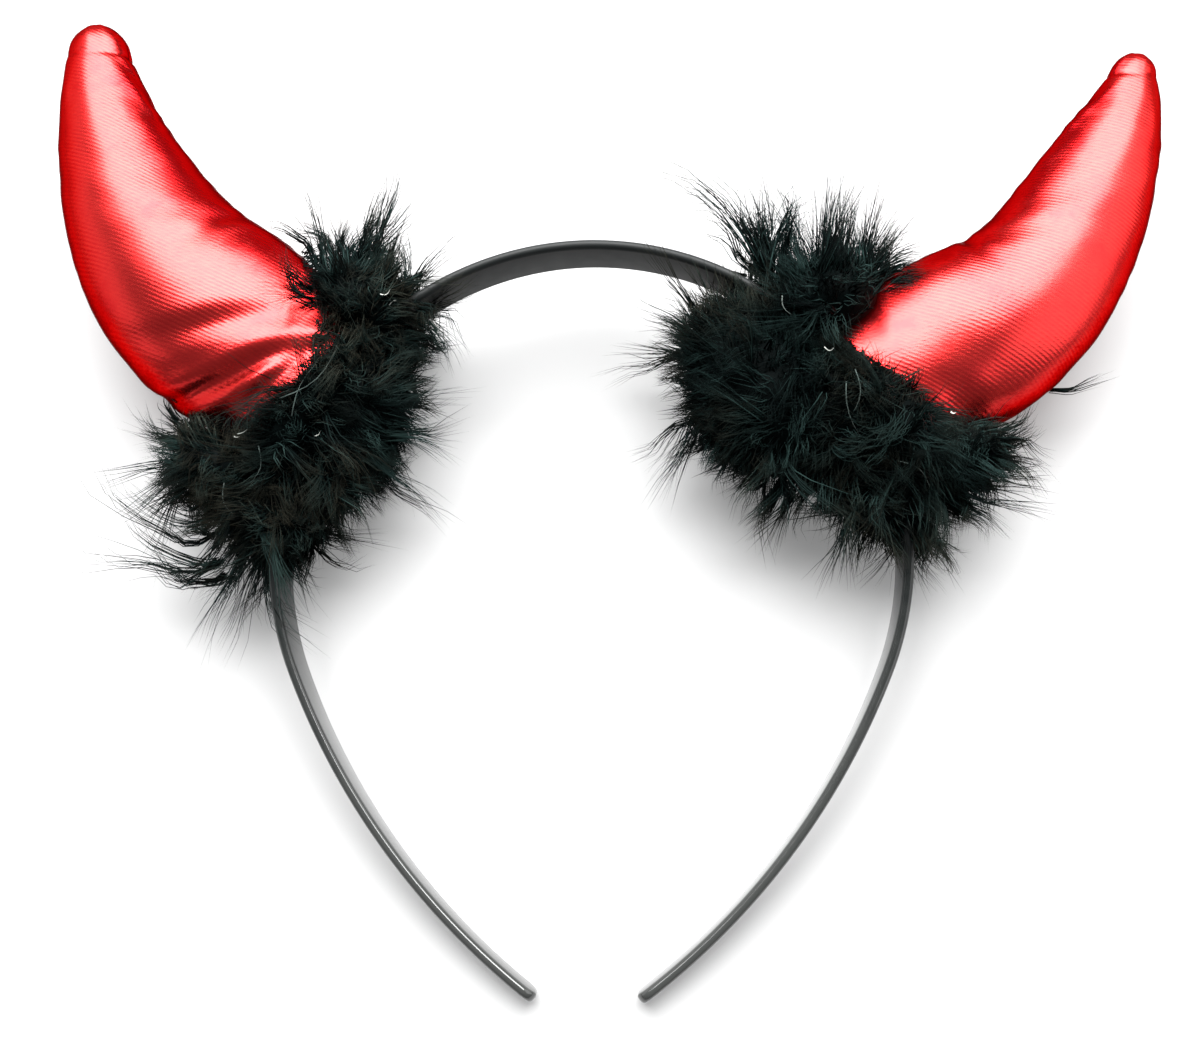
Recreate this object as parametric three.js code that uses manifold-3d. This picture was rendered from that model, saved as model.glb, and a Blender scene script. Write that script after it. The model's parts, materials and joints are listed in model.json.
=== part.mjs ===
// Devil horns headband: a moulded plastic hoop with two stuffed horns of metallic cloth,
// each seated on the hoop in a ruff of marabou feather trim.
// It is modelled as worn, crown up and front towards +Z, and then laid on its back on a table.
import * as THREE from "three";
import { mergeVertices } from "three/addons/utils/BufferGeometryUtils.js";
import Module from "manifold-3d";

const wasm = await Module();
wasm.setup();

// Driving dimensions, in millimetres and degrees.
// The hoop: a crown arc that runs on into two flatter legs. It is widest at the crown, and the
// bluntness is half the width that is left at its very ends, in thicknesses.
const CROWN_RADIUS = 64.9;
const CROWN_SWEEP = 224;
const LEG_RADIUS = 145;
const LEG_LENGTH = 81;
const BAND_THICKNESS = 2.1;
const CROWN_WIDTH = 12;
const TIP_WIDTH = 6;
const CROWN_FACETS = 37;
const LEG_FACETS = 9;
const EDGE_FACETS = 4;
const TIP_BLUNTNESS = 0.75;

// The horns: where each sits on the hoop, counted from the middle of the crown, and its middle
// line's length and bend. The foot hangs over the hoop's edges by a share of its thickness, and
// the rows of the cloth crowd towards the tip, which ends in a stitched cap.
const HORN_ANGLE = 60.4;
const HORN_LENGTH = 104;
const HORN_WIDTH = 41;
const HORN_DEPTH = 31;
const HORN_BEND = 49;
const FOOT_SHARE = 0.75;
const HORN_ROWS = 24;
const HORN_SIDES = 20;
const ROW_CROWDING = 1.35;
const TIP_CAP = 5;
const TIP_CREASE_DEPTH = 0.9;
const TIP_CREASE_LENGTH = 1.6;

// The marabou: a feather cord wound round each horn's foot and on round the hoop. Its reach is
// how far its fluff stands from the horn's seat. The winding lifts off the seat and slants towards
// the belly by these lengths, and flat is the share of it that is pressed away underneath.
const TRIM_REACH = 40;
const WINDING_RADIUS = 8;
const WINDING_LIFT = -4;
const WINDING_SLANT = 9;
const WINDING_FLAT = 0.72;
const WINDING_ROWS = 14;
const WINDING_SIDES = 7;
const FLUFF_SIDES = 10;
const FLUFF_ROWS = 7;
const LOCK_COUNT = 60;
const LOCK_LENGTH = 11;
const LOCK_RADIUS = 3.2;
const LOCK_SIDES = 4;
const LOCK_ROOT = 4;
const LOCK_CURL = 14;
const PLUME_RADIUS = 3.5;

// Glue lines and cut edges keep this much air between two pieces.
const GLUE_GAP = 0.3;

// One horn's outline, from its seat to its tip: how far along its length, how wide it is there,
// and how much of its bend lies behind that place.
const HORN_OUTLINE = [
  { along: 0.0, wide: 0.83, turned: 0.0 },
  { along: 0.1, wide: 0.92, turned: 0.0 },
  { along: 0.25, wide: 1.0, turned: 0.01 },
  { along: 0.34, wide: 0.97, turned: 0.14 },
  { along: 0.43, wide: 0.905, turned: 0.33 },
  { along: 0.52, wide: 0.82, turned: 0.46 },
  { along: 0.61, wide: 0.725, turned: 0.58 },
  { along: 0.69, wide: 0.63, turned: 0.67 },
  { along: 0.78, wide: 0.52, turned: 0.76 },
  { along: 0.87, wide: 0.41, turned: 0.86 },
  { along: 0.94, wide: 0.325, turned: 0.94 },
  { along: 1.0, wide: 0.27, turned: 1.0 },
];

// How a lock of barbs tapers from its root to its tip.
const LOCK_OUTLINE = [
  { along: 0, wide: 1 },
  { along: 0.5, wide: 0.75 },
  { along: 1, wide: 0.08 },
];

// What differs from one side to the other. length, width and bend are shares of the sizes above.
// seat moves the horn round the hoop from its named place, and lean turns it from the hoop's own
// normal towards the crown, both in degrees.
// folds are where the cloth is gathered at the horn's foot: the place along the horn and round it
// (0 faces the front, 90 the crown, -90 the belly), its size along and round, how far it runs up
// the horn over a quarter turn, and its depth as a share of the horn's radius.
// fluff is the trim's mass, and plumes are the long wisps that stand out of it. Their places, out
// from the hoop, up along it to the crown and to the front, and their radii are shares of the
// trim's reach.
const SIDES = [
  {
    name: "left",
    across: -1,
    length: 1.025,
    width: 1.06,
    bend: 1.04,
    seat: -1.3,
    lean: 5.5,
    folds: [
      { along: 0.13, around: -25, long: 0.035, wide: 75, slant: -0.14, deep: 0.13 },
      { along: 0.04, around: -40, long: 0.03, wide: 60, slant: -0.14, deep: 0.1 },
      { along: 0.32, around: 62, long: 0.03, wide: 26, slant: 0.05, deep: 0.05 },
    ],
    fluff: [
      { out: -0.15, up: -0.15, front: 0.0, deep: 0.28, long: 0.6, thick: 0.38 },
      { out: 0.08, up: 0.65, front: -0.04, deep: 0.35, long: 0.33, thick: 0.51 },
      { out: -0.3, up: 0.24, front: 0.08, deep: 0.36, long: 0.4, thick: 0.38 },
      { out: -0.3, up: -0.35, front: 0.04, deep: 0.34, long: 0.42, thick: 0.38 },
      { out: -0.2, up: -0.84, front: 0.0, deep: 0.3, long: 0.32, thick: 0.32 },
      { out: 0.26, up: -0.72, front: 0.02, deep: 0.28, long: 0.3, thick: 0.32 },
    ],
    plumes: [
      { out: 0.56, up: 0.78, front: 0.15 },
      { out: 0.3, up: 1.04, front: 0.2 },
      { out: -0.1, up: 1.07, front: 0.25 },
      { out: -0.55, up: 0.66, front: 0.35 },
      { out: -0.77, up: 0.26, front: 0.4 },
      { out: -0.79, up: -0.09, front: 0.5 },
      { out: -0.77, up: -0.45, front: 0.3 },
      { out: -0.64, up: -1.12, front: 0.1 },
      { out: -0.41, up: -1.44, front: 0.0 },
      { out: 0.12, up: -1.35, front: 0.1 },
      { out: 0.48, up: -1.2, front: -0.1 },
      { out: 0.53, up: -0.76, front: 0.0 },
    ],
  },
  {
    name: "right",
    across: 1,
    length: 0.963,
    width: 0.96,
    bend: 0.97,
    seat: 1.2,
    lean: 3.2,
    folds: [
      { along: 0.1, around: 40, long: 0.03, wide: 40, slant: 0.1, deep: 0.1 },
      { along: 0.4, around: 75, long: 0.03, wide: 28, slant: 0.04, deep: 0.07 },
      { along: 0.12, around: -50, long: 0.03, wide: 45, slant: -0.08, deep: 0.08 },
    ],
    fluff: [
      { out: -0.38, up: -0.05, front: 0.08, deep: 0.45, long: 0.48, thick: 0.42 },
      { out: 0.16, up: 0.66, front: -0.04, deep: 0.32, long: 0.32, thick: 0.51 },
      { out: -0.52, up: 0.42, front: 0.06, deep: 0.36, long: 0.38, thick: 0.36 },
      { out: -0.06, up: -0.25, front: 0.0, deep: 0.3, long: 0.52, thick: 0.38 },
      { out: 0.24, up: -0.62, front: 0.0, deep: 0.33, long: 0.28, thick: 0.3 },
      { out: -0.12, up: -0.74, front: 0.0, deep: 0.22, long: 0.3, thick: 0.27 },
    ],
    plumes: [
      { out: 0.66, up: 0.7, front: 0.15 },
      { out: 0.38, up: 0.97, front: 0.15 },
      { out: 0.14, up: 1.08, front: 0.25 },
      { out: 0.03, up: 1.36, front: 0.1 },
      { out: -0.19, up: 1.3, front: 0.2 },
      { out: -0.33, up: 1.12, front: 0.1 },
      { out: -0.52, up: 0.9, front: 0.35 },
      { out: -0.92, up: 0.48, front: 0.4 },
      { out: -1.08, up: 0.0, front: 0.35 },
      { out: -0.81, up: -0.39, front: 0.45 },
      { out: -0.33, up: -1.0, front: 0.2 },
      { out: 0.04, up: -1.02, front: 0.0 },
      { out: 0.48, up: -0.88, front: 0.05 },
      { out: 0.62, up: -0.62, front: 0.0 },
    ],
  },
];

const TAU = 2 * Math.PI;
const QUARTER_TURN = 90;
const GOLDEN_TURN = Math.PI * (3 - Math.sqrt(5));
const FRONT = new THREE.Vector3(0, 0, 1);
const RIGHT = new THREE.Vector3(1, 0, 0);
const rad = THREE.MathUtils.degToRad;

// Solids

// A closed mesh through rings of points, all of one count and running the same way round. A ring
// road joins its last ring to its first, and any other is capped at both ends.
function loft(rings, ringRoad = false) {
  const count = rings[0].length;
  const points = rings.flat();
  const faces = [];
  const spans = ringRoad ? rings.length : rings.length - 1;
  for (let row = 0; row < spans; row += 1) {
    const here = row * count;
    const next = ((row + 1) % rings.length) * count;
    for (let i = 0; i < count; i += 1) {
      const beside = (i + 1) % count;
      faces.push(here + i, here + beside, next + beside, here + i, next + beside, next + i);
    }
  }
  const last = (rings.length - 1) * count;
  for (let i = 1; i + 1 < count && !ringRoad; i += 1) {
    faces.push(0, i + 1, i);
    faces.push(last, last + i, last + i + 1);
  }
  const geometry = new THREE.BufferGeometry().setFromPoints(points);
  geometry.setIndex(faces);
  return geometry;
}

// A closed loop of points about a middle, turning from the first direction to the second.
function circle(middle, first, second, firstRadius, secondRadius, sides) {
  const ring = [];
  for (let i = 0; i < sides; i += 1) {
    const around = (i / sides) * TAU;
    ring.push(
      middle
        .clone()
        .addScaledVector(first, firstRadius * Math.cos(around))
        .addScaledVector(second, secondRadius * Math.sin(around)),
    );
  }
  return ring;
}

function solid(geometry) {
  const merged = mergeVertices(geometry, 1e-4);
  const vertProperties = new Float32Array(merged.attributes.position.array);
  const triVerts = new Uint32Array(merged.index.array);
  return new wasm.Manifold(new wasm.Mesh({ numProp: 3, vertProperties, triVerts }));
}

function geometryOf(manifold) {
  const mesh = manifold.getMesh();
  const geometry = new THREE.BufferGeometry();
  geometry.setAttribute("position", new THREE.BufferAttribute(new Float32Array(mesh.vertProperties), 3));
  geometry.setIndex([...mesh.triVerts]);
  geometry.computeVertexNormals();
  return geometry;
}

// A value from a table, smooth between its rows.
function tableValue(rows, along, column) {
  const curve = new THREE.CatmullRomCurve3(
    rows.map((row) => new THREE.Vector3(row.along, row[column], 0)),
    false,
    "centripetal",
  );
  const above = Math.max(rows.findIndex((row) => row.along >= along), 1);
  const low = rows[above - 1];
  const share = (along - low.along) / (rows[above].along - low.along);
  return curve.getPoint((above - 1 + share) / (rows.length - 1)).y;
}

// The hoop

const centreRadius = CROWN_RADIUS - BAND_THICKNESS / 2;
const crownReach = centreRadius * rad(CROWN_SWEEP / 2);
const bandReach = crownReach + LEG_LENGTH;

// A place on the hoop's middle line, by its distance from the middle of the crown.
function bandAt(distance) {
  const way = Math.sign(distance) || 1;
  const far = Math.abs(distance);
  const crown = Math.min(far, crownReach) / centreRadius;
  const angle = crown + Math.max(far - crownReach, 0) / LEG_RADIUS;
  const point = new THREE.Vector3(
    centreRadius * Math.sin(crown) + LEG_RADIUS * (Math.sin(angle) - Math.sin(crown)),
    centreRadius * Math.cos(crown) + LEG_RADIUS * (Math.cos(angle) - Math.cos(crown)),
    0,
  );
  point.x *= way;
  const out = new THREE.Vector3(way * Math.sin(angle), Math.cos(angle), 0);
  return { point, out };
}

// A flat strip with half-round edges. The tips are half-round too.
function bandRing(distance, grow) {
  const { point, out } = bandAt(distance);
  const far = Math.abs(distance);
  const taper = THREE.MathUtils.smoothstep(far, crownReach / 2, bandReach);
  const width = THREE.MathUtils.lerp(CROWN_WIDTH, TIP_WIDTH, taper);
  const fromEnd = Math.min(bandReach - far, TIP_WIDTH / 2) / (TIP_WIDTH / 2);
  const rounding = Math.sqrt(Math.max(1 - (1 - fromEnd) ** 2, 0));
  const thick = BAND_THICKNESS / 2 + grow;
  const wide = Math.max((width / 2) * rounding, TIP_BLUNTNESS * BAND_THICKNESS) + grow;
  const ring = [];
  for (const edge of [0, 1]) {
    for (let i = 0; i <= EDGE_FACETS; i += 1) {
      const turn = Math.PI * (edge + i / EDGE_FACETS);
      const across = thick * Math.cos(turn);
      const depth = thick * Math.sin(turn) + (edge ? thick - wide : wide - thick);
      ring.push(point.clone().addScaledVector(out, across).addScaledVector(FRONT, depth));
    }
  }
  return ring;
}

function bandSolid(grow = 0) {
  const stations = [];
  for (let i = 0; i <= CROWN_FACETS; i += 1) stations.push(crownReach * ((2 * i) / CROWN_FACETS - 1));
  const tipStart = bandReach - TIP_WIDTH / 2;
  for (let i = 1; i <= LEG_FACETS; i += 1) {
    const along = crownReach + ((tipStart - crownReach) * i) / LEG_FACETS;
    stations.push(along);
    stations.unshift(-along);
  }
  for (let i = 1; i <= EDGE_FACETS; i += 1) {
    const along = tipStart + (TIP_WIDTH / 2) * Math.sin((Math.PI / 2) * (i / EDGE_FACETS));
    stations.push(along);
    stations.unshift(-along);
  }
  return solid(loft(stations.map((station) => bandRing(station, grow))));
}

// The seat of a horn: its place on the hoop's outer face, out from the hoop, and up along it
// towards the crown.
function seatOf(side) {
  const distance = side.across * centreRadius * rad(HORN_ANGLE + side.seat);
  const { point, out } = bandAt(distance);
  const up = new THREE.Vector3(-out.y * side.across, out.x * side.across, 0);
  const place = point.clone().addScaledVector(out, BAND_THICKNESS / 2);
  return { place, out, up };
}

// The horns

function hornRadii(side, along) {
  const wide = tableValue(HORN_OUTLINE, along, "wide") * side.width;
  return { across: (HORN_WIDTH / 2) * wide, depth: (HORN_DEPTH / 2) * wide };
}

// A horn's middle line, worked out from its bend: points, headings, and the way to its crown
// side. The rows draw closer together towards the tip.
function hornLine(side) {
  const { place, out, up } = seatOf(side);
  const sunk = FOOT_SHARE * BAND_THICKNESS;
  const length = HORN_LENGTH * side.length + sunk;
  const headingAt = (along) => {
    const turn = rad(side.lean + HORN_BEND * side.bend * tableValue(HORN_OUTLINE, along, "turned"));
    return out.clone().multiplyScalar(Math.cos(turn)).addScaledVector(up, Math.sin(turn));
  };
  const point = place.clone().addScaledVector(headingAt(0), -sunk);
  const line = [];
  let before = 0;
  for (let row = 0; row <= HORN_ROWS; row += 1) {
    const along = 1 - (1 - row / HORN_ROWS) ** ROW_CROWDING;
    point.addScaledVector(headingAt((before + along) / 2), (along - before) * length);
    const ahead = headingAt(along);
    const crownwards = new THREE.Vector3(-ahead.y, ahead.x, 0).multiplyScalar(side.across);
    line.push({ along, fromTip: (1 - along) * length, point: point.clone(), ahead, crownwards });
    before = along;
  }
  return line;
}

// How far the gathered folds draw the cloth in, as a share of the radius there.
function drawnIn(side, along, around) {
  const degrees = THREE.MathUtils.radToDeg(around);
  return side.folds.reduce((share, fold) => {
    const overAround = (degrees - fold.around) / fold.wide;
    const middle = fold.along + (fold.slant * (degrees - fold.around)) / QUARTER_TURN;
    const overAlong = (along - middle) / fold.long;
    return share + fold.deep * Math.exp(-(overAlong ** 2) - overAround ** 2);
  }, 0);
}

// A horn grown by a margin all round. Its tip is domed, and closes in a small flat.
function hornSolid(side, grow = 0) {
  const tipRadius = hornRadii(side, 1).across;
  const rings = hornLine(side).map(({ along, fromTip, point, ahead, crownwards }) => {
    const radii = hornRadii(side, along);
    const dome = Math.sqrt(Math.max(1 - (1 - Math.min(fromTip / tipRadius, 1)) ** 2, 0.01));
    const crease = TIP_CREASE_DEPTH * Math.exp(-(((fromTip - TIP_CAP) / TIP_CREASE_LENGTH) ** 2));
    const foot = point.clone().addScaledVector(ahead, along === 0 ? -grow : 0);
    const ring = [];
    for (let i = 0; i < HORN_SIDES; i += 1) {
      const around = (i / HORN_SIDES) * TAU - Math.PI;
      const full = dome * (1 - drawnIn(side, along, around));
      const across = (radii.across * full - crease + grow) * Math.sin(around);
      const depth = (radii.depth * full - crease + grow) * Math.cos(around);
      ring.push(foot.clone().addScaledVector(crownwards, across).addScaledVector(FRONT, depth));
    }
    return side.across < 0 ? ring : ring.reverse();
  });
  return solid(loft(rings));
}

// Whether a place lies in the horn or close to it.
function hornHolds(side, place) {
  return hornLine(side).some(({ along, point }) => {
    return place.distanceTo(point) < hornRadii(side, along).depth + LOCK_RADIUS;
  });
}

// The marabou trim

// A place given in shares of the trim's reach from the horn's seat.
function trimPlace(side, { out, up, front }) {
  const seat = seatOf(side);
  return seat.place
    .clone()
    .addScaledVector(seat.out, out * TRIM_REACH)
    .addScaledVector(seat.up, up * TRIM_REACH)
    .addScaledVector(FRONT, front * TRIM_REACH);
}

// The cord's turn round the foot of the horn. It runs further out on the belly side, and it is
// thin underneath, where it is lain on.
function windingSolid(side) {
  const { place, out, up } = seatOf(side);
  const foot = hornRadii(side, 0);
  const rings = [];
  for (let row = 0; row < WINDING_ROWS; row += 1) {
    const turn = (row / WINDING_ROWS) * TAU;
    const flat = 1 - WINDING_FLAT * Math.max(-Math.cos(turn), 0);
    const radius = WINDING_RADIUS * flat;
    const away = up.clone().multiplyScalar(Math.sin(turn)).addScaledVector(FRONT, Math.cos(turn));
    const middle = place
      .clone()
      .addScaledVector(out, WINDING_LIFT - WINDING_SLANT * Math.sin(turn))
      .addScaledVector(up, (foot.across + radius / 2) * Math.sin(turn))
      .addScaledVector(FRONT, (foot.depth + radius / 2) * Math.cos(turn));
    rings.push(circle(middle, away, out, radius, WINDING_RADIUS, WINDING_SIDES));
  }
  return solid(loft(side.across < 0 ? rings.reverse() : rings, true));
}

// One rounded mass of fluff, its axes along the hoop's own directions.
function fluffSolid(side, fluff) {
  const { out, up } = seatOf(side);
  const ball = new THREE.SphereGeometry(1, FLUFF_SIDES, FLUFF_ROWS);
  const frame = new THREE.Matrix4().makeBasis(
    out.clone().multiplyScalar(fluff.deep * TRIM_REACH),
    up.clone().multiplyScalar(fluff.long * TRIM_REACH),
    new THREE.Vector3(0, 0, side.across * fluff.thick * TRIM_REACH),
  );
  frame.setPosition(trimPlace(side, fluff));
  ball.applyMatrix4(frame);
  ball.deleteAttribute("normal");
  ball.deleteAttribute("uv");
  return solid(ball);
}

// One tapered lock of barbs from its root to its tip, curling a little to one side.
function lockSolid(root, tip, radius, curl) {
  const axis = tip.clone().sub(root);
  const length = axis.length();
  axis.normalize();
  const aside = Math.abs(axis.z) < Math.SQRT1_2 ? FRONT : RIGHT;
  const level = new THREE.Vector3().crossVectors(axis, aside).normalize();
  const steep = new THREE.Vector3().crossVectors(axis, level);
  const rings = LOCK_OUTLINE.map(({ along, wide }) => {
    const bow = length * Math.tan(rad(curl)) * along * (1 - along);
    const middle = root.clone().addScaledVector(axis, length * along).addScaledVector(level, bow);
    return circle(middle, level, steep, radius * wide, radius * wide, LOCK_SIDES);
  });
  return solid(loft(rings));
}

// The coat of locks, spread evenly over the masses of fluff. None is rooted in the horn or runs
// into it, and none reaches below the fluff that it grows from.
function coatOfLocks(side) {
  const locks = [];
  for (let i = 0; i < LOCK_COUNT; i += 1) {
    const fluff = side.fluff[i % side.fluff.length];
    const height = 1 - (2 * (i + 0.5)) / LOCK_COUNT;
    const level = Math.sqrt(1 - height ** 2);
    const turn = i * GOLDEN_TURN;
    const lowest = trimPlace(side, fluff).z - fluff.thick * TRIM_REACH;
    const at = (extra) => {
      const stand = extra / TRIM_REACH;
      const place = trimPlace(side, {
        out: fluff.out + level * Math.cos(turn) * (fluff.deep + stand),
        up: fluff.up + height * (fluff.long + stand),
        front: fluff.front + level * Math.sin(turn) * (fluff.thick + stand),
      });
      place.z = Math.max(place.z, lowest + LOCK_RADIUS);
      return place;
    };
    const root = at(-LOCK_ROOT);
    const tip = at(LOCK_LENGTH);
    if (hornHolds(side, root) || hornHolds(side, at(0)) || hornHolds(side, tip)) continue;
    locks.push(lockSolid(root, tip, LOCK_RADIUS, LOCK_CURL * Math.sin(3 * i)));
  }
  return locks;
}

// The long wisps, each from half-way out to where the table says that it ends.
function longPlumes(side) {
  return side.plumes.map((plume, i) => {
    const half = { out: plume.out / 2, up: plume.up / 2, front: plume.front / 2 };
    const curl = LOCK_CURL * Math.cos(2 * i);
    return lockSolid(trimPlace(side, half), trimPlace(side, plume), PLUME_RADIUS, curl);
  });
}

// The whole trim on one side, cut clear of the hoop that it is glued to and of the horn. Scraps
// that the cuts leave loose are not part of it.
function trimSolid(side) {
  const masses = side.fluff.map((fluff) => fluffSolid(side, fluff));
  const all = [windingSolid(side), ...masses, ...coatOfLocks(side), ...longPlumes(side)];
  const whole = all.reduce((sum, one) => sum.add(one));
  const cut = whole.subtract(bandSolid(GLUE_GAP)).subtract(hornSolid(side, GLUE_GAP));
  return cut.decompose().reduce((main, one) => (one.volume() > main.volume() ? one : main));
}

// Finishes

const plastic = new THREE.MeshStandardMaterial({ color: 0x141618, roughness: 0.28, metalness: 0 });
const lame = new THREE.MeshStandardMaterial({ color: 0xc8102a, roughness: 0.35, metalness: 0.8 });
const feather = new THREE.MeshStandardMaterial({ color: 0x0b0f0e, roughness: 0.9, metalness: 0 });

function mesh(name, manifold, material) {
  const made = new THREE.Mesh(geometryOf(manifold), material);
  made.name = name;
  return made;
}

const asWorn = new THREE.Group();
asWorn.add(mesh("headband", bandSolid(), plastic));
for (const side of SIDES) {
  asWorn.add(mesh(`horn_${side.name}`, hornSolid(side).subtract(bandSolid(GLUE_GAP)), lame));
  asWorn.add(mesh(`marabou_${side.name}`, trimSolid(side), feather));
}

// Lays it on its back: it tips about the hoop's two ends until the ruffs touch the table too,
// and the middle of its footprint becomes the origin.
function layDown(worn) {
  const laid = new THREE.Group();
  laid.add(worn);
  const corners = [];
  worn.traverse((part) => {
    if (!part.isMesh) return;
    const position = part.geometry.attributes.position;
    for (let i = 0; i < position.count; i += 1) {
      corners.push(new THREE.Vector3().fromBufferAttribute(position, i));
    }
  });
  const heel = corners.reduce((low, corner) => (corner.y < low.y ? corner : low));
  const tips = corners.filter((corner) => corner.y < heel.y + TIP_WIDTH);
  const pivot = tips.reduce((low, corner) => (corner.z < low.z ? corner : low));
  const tiltOf = (corner) => Math.atan2(pivot.z - corner.z, corner.y - pivot.y);
  const high = corners.filter((corner) => corner.y > 0);
  worn.rotation.x = Math.max(...high.map(tiltOf));
  laid.updateMatrixWorld(true);
  const box = new THREE.Box3().setFromObject(laid, true);
  worn.position.set(-(box.min.x + box.max.x) / 2, -(box.min.y + box.max.y) / 2, -box.min.z);
  return laid;
}

export default layDown(asWorn);
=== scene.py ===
import json
import math

import bpy
import numpy as np
from mathutils import Euler, Matrix, Vector


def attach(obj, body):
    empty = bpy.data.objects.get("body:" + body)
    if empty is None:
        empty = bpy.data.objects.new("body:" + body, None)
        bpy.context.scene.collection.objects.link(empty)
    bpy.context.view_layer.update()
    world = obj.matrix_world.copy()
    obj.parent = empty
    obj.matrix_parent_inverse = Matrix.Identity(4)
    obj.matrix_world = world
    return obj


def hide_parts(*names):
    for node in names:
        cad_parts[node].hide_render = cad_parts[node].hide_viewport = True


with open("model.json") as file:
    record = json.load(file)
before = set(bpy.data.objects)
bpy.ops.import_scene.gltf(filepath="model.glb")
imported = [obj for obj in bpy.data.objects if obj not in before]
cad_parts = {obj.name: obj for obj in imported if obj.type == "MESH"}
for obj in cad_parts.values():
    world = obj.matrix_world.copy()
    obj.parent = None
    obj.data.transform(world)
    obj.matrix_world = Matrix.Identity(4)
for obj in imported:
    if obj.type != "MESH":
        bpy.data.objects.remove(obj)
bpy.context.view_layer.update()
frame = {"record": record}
bpy.ops.object.select_all(action="DESELECT")


# The table, the light and the camera
# The headband lies on a pale table that glows a little from below, as for a catalogue picture,
# under a wide soft light from overhead and two weak ones from its sides. The camera looks down on
# it, from a little below its middle.
CAMERA_PLACE = (0.01495, -0.07603, 0.24576)
CAMERA_TURN = (16.06, 3.49, 0.44)
CAMERA_LENS = 35.25
TABLE_SIZE = 8.0
TABLE_GREY = 0.23
TABLE_GLOW = 0.2
SKY_TINT = (0.95, 0.97, 1.0)
SKY_STRENGTH = 0.3
LIGHTS = [
    {"name": "overhead", "place": (0.0, 0.72, 1.0), "size": (1.6, 1.12), "power": 119.0},
    {"name": "left_fill", "place": (-1.6, 0.45, 0.5), "size": (2.0, 0.8), "power": 5.5},
    {"name": "right_fill", "place": (1.33, 0.12, 0.8), "size": (1.7, 1.3), "power": 15.0},
]

bpy.ops.object.camera_add(location=CAMERA_PLACE)
camera = bpy.context.object
camera.rotation_euler = Euler([math.radians(turn) for turn in CAMERA_TURN])
camera.data.lens = CAMERA_LENS
camera.data.sensor_width = 36
camera.data.clip_start = 0.01
bpy.context.scene.camera = camera

for light in LIGHTS:
    bpy.ops.object.light_add(type="AREA", location=light["place"])
    lamp = bpy.context.object
    lamp.name = light["name"]
    lamp.rotation_euler = (-Vector(light["place"])).to_track_quat("-Z", "Y").to_euler()
    lamp.data.shape = "RECTANGLE"
    lamp.data.size, lamp.data.size_y = light["size"]
    lamp.data.energy = light["power"]

world = bpy.data.worlds.new("studio")
world.use_nodes = True
world.node_tree.nodes["Background"].inputs["Color"].default_value = (*SKY_TINT, 1)
world.node_tree.nodes["Background"].inputs["Strength"].default_value = SKY_STRENGTH
bpy.context.scene.world = world
bpy.context.scene.view_settings.view_transform = "Standard"

bpy.ops.mesh.primitive_plane_add(size=TABLE_SIZE)
table = bpy.context.object
table.name = "table_top"


def shader(name, colour, roughness):
    """A material with one Principled shader, its node tree and that shader."""
    made = bpy.data.materials.new(name)
    made.use_nodes = True
    tree = made.node_tree
    principled = tree.nodes["Principled BSDF"]
    principled.inputs["Base Color"].default_value = (*colour, 1)
    principled.inputs["Roughness"].default_value = roughness
    return made, tree, principled


def node(tree, kind, settings=None, **inputs):
    """A new node. Its settings are properties, and its inputs are values or other nodes' sockets."""
    made = tree.nodes.new(kind)
    for key, value in (settings or {}).items():
        setattr(made, key, value)
    for key, value in inputs.items():
        by_number = key[1:].isdigit()
        socket = made.inputs[int(key[1:]) if by_number else key.replace("_", " ")]
        if isinstance(value, bpy.types.NodeSocket):
            tree.links.new(value, socket)
        else:
            socket.default_value = value
    return made


table_paint, _, lit_from_below = shader("table_paint", (TABLE_GREY,) * 3, 0.9)
lit_from_below.inputs["Emission Color"].default_value = (1, 1, 1, 1)
lit_from_below.inputs["Emission Strength"].default_value = TABLE_GLOW
table.data.materials.append(table_paint)


# How it lies
# Every piece is made as worn, with the middle of the crown's circle at the origin, +Y up to the
# crown and +Z to the front, and then laid down as the mount on the crown's inner face says.
SEAT_RADIUS = 0.06271

mount = frame["record"]["mounts"][0]
crownwards = -Vector(mount["axis"])
rightwards = Vector((1, 0, 0))
frontwards = rightwards.cross(crownwards)
laid = Matrix((rightwards, crownwards, frontwards)).transposed().to_4x4()
laid.translation = Vector(mount["pos_m"]) - crownwards * SEAT_RADIUS
turned = np.array(laid.to_3x3())
moved = np.array(laid.translation)


def lay_down(points):
    return points @ turned.T + moved


def stand_up(points):
    return (points - moved) @ turned


# The band
# One springy strip of moulded black plastic, a crown arc that runs on into two flatter legs. Its
# edges and ends are rounded off in the mould. Its crown is dull, its legs shine, and its black
# turns a little paler grey lower down the legs.
BAND_THICKNESS = 0.0021
CROWN_RADIUS = 0.0649
CROWN_SWEEP = math.radians(224)
LEG_RADIUS = 0.145
LEG_LENGTH = 0.081
CROWN_WIDTH = 0.012
TIP_WIDTH = 0.006
EDGE_ROUNDING = 0.00100
SEAM_REACH = 0.00001
CROWN_STEPS = 90
LEG_STEPS = 48
END_STEPS = 12
BAND_BLACK = (0.005, 0.006, 0.006)
LOWER_LEG_BLACK = (0.021, 0.022, 0.021)
PALING_FROM = 0.0
PALING_FULL = -0.05
PALING_RAGGED = 0.04
BAND_SHINE = 0.15
BAND_ROUGHNESS = (0.12, 0.24)
DULL_FROM = 0.0
DULL_FULL = 0.03
CROWN_DULLNESS = 0.3
POLISH_FROM = -0.015
POLISH_FULL = -0.05
POLISH_ROUGHNESS = 0.09

centre_radius = CROWN_RADIUS - BAND_THICKNESS / 2
crown_reach = centre_radius * CROWN_SWEEP / 2
band_reach = crown_reach + LEG_LENGTH
crown_end = CROWN_SWEEP / 2
leg_middle = np.array([math.sin(crown_end), math.cos(crown_end)]) * (centre_radius - LEG_RADIUS)


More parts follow.
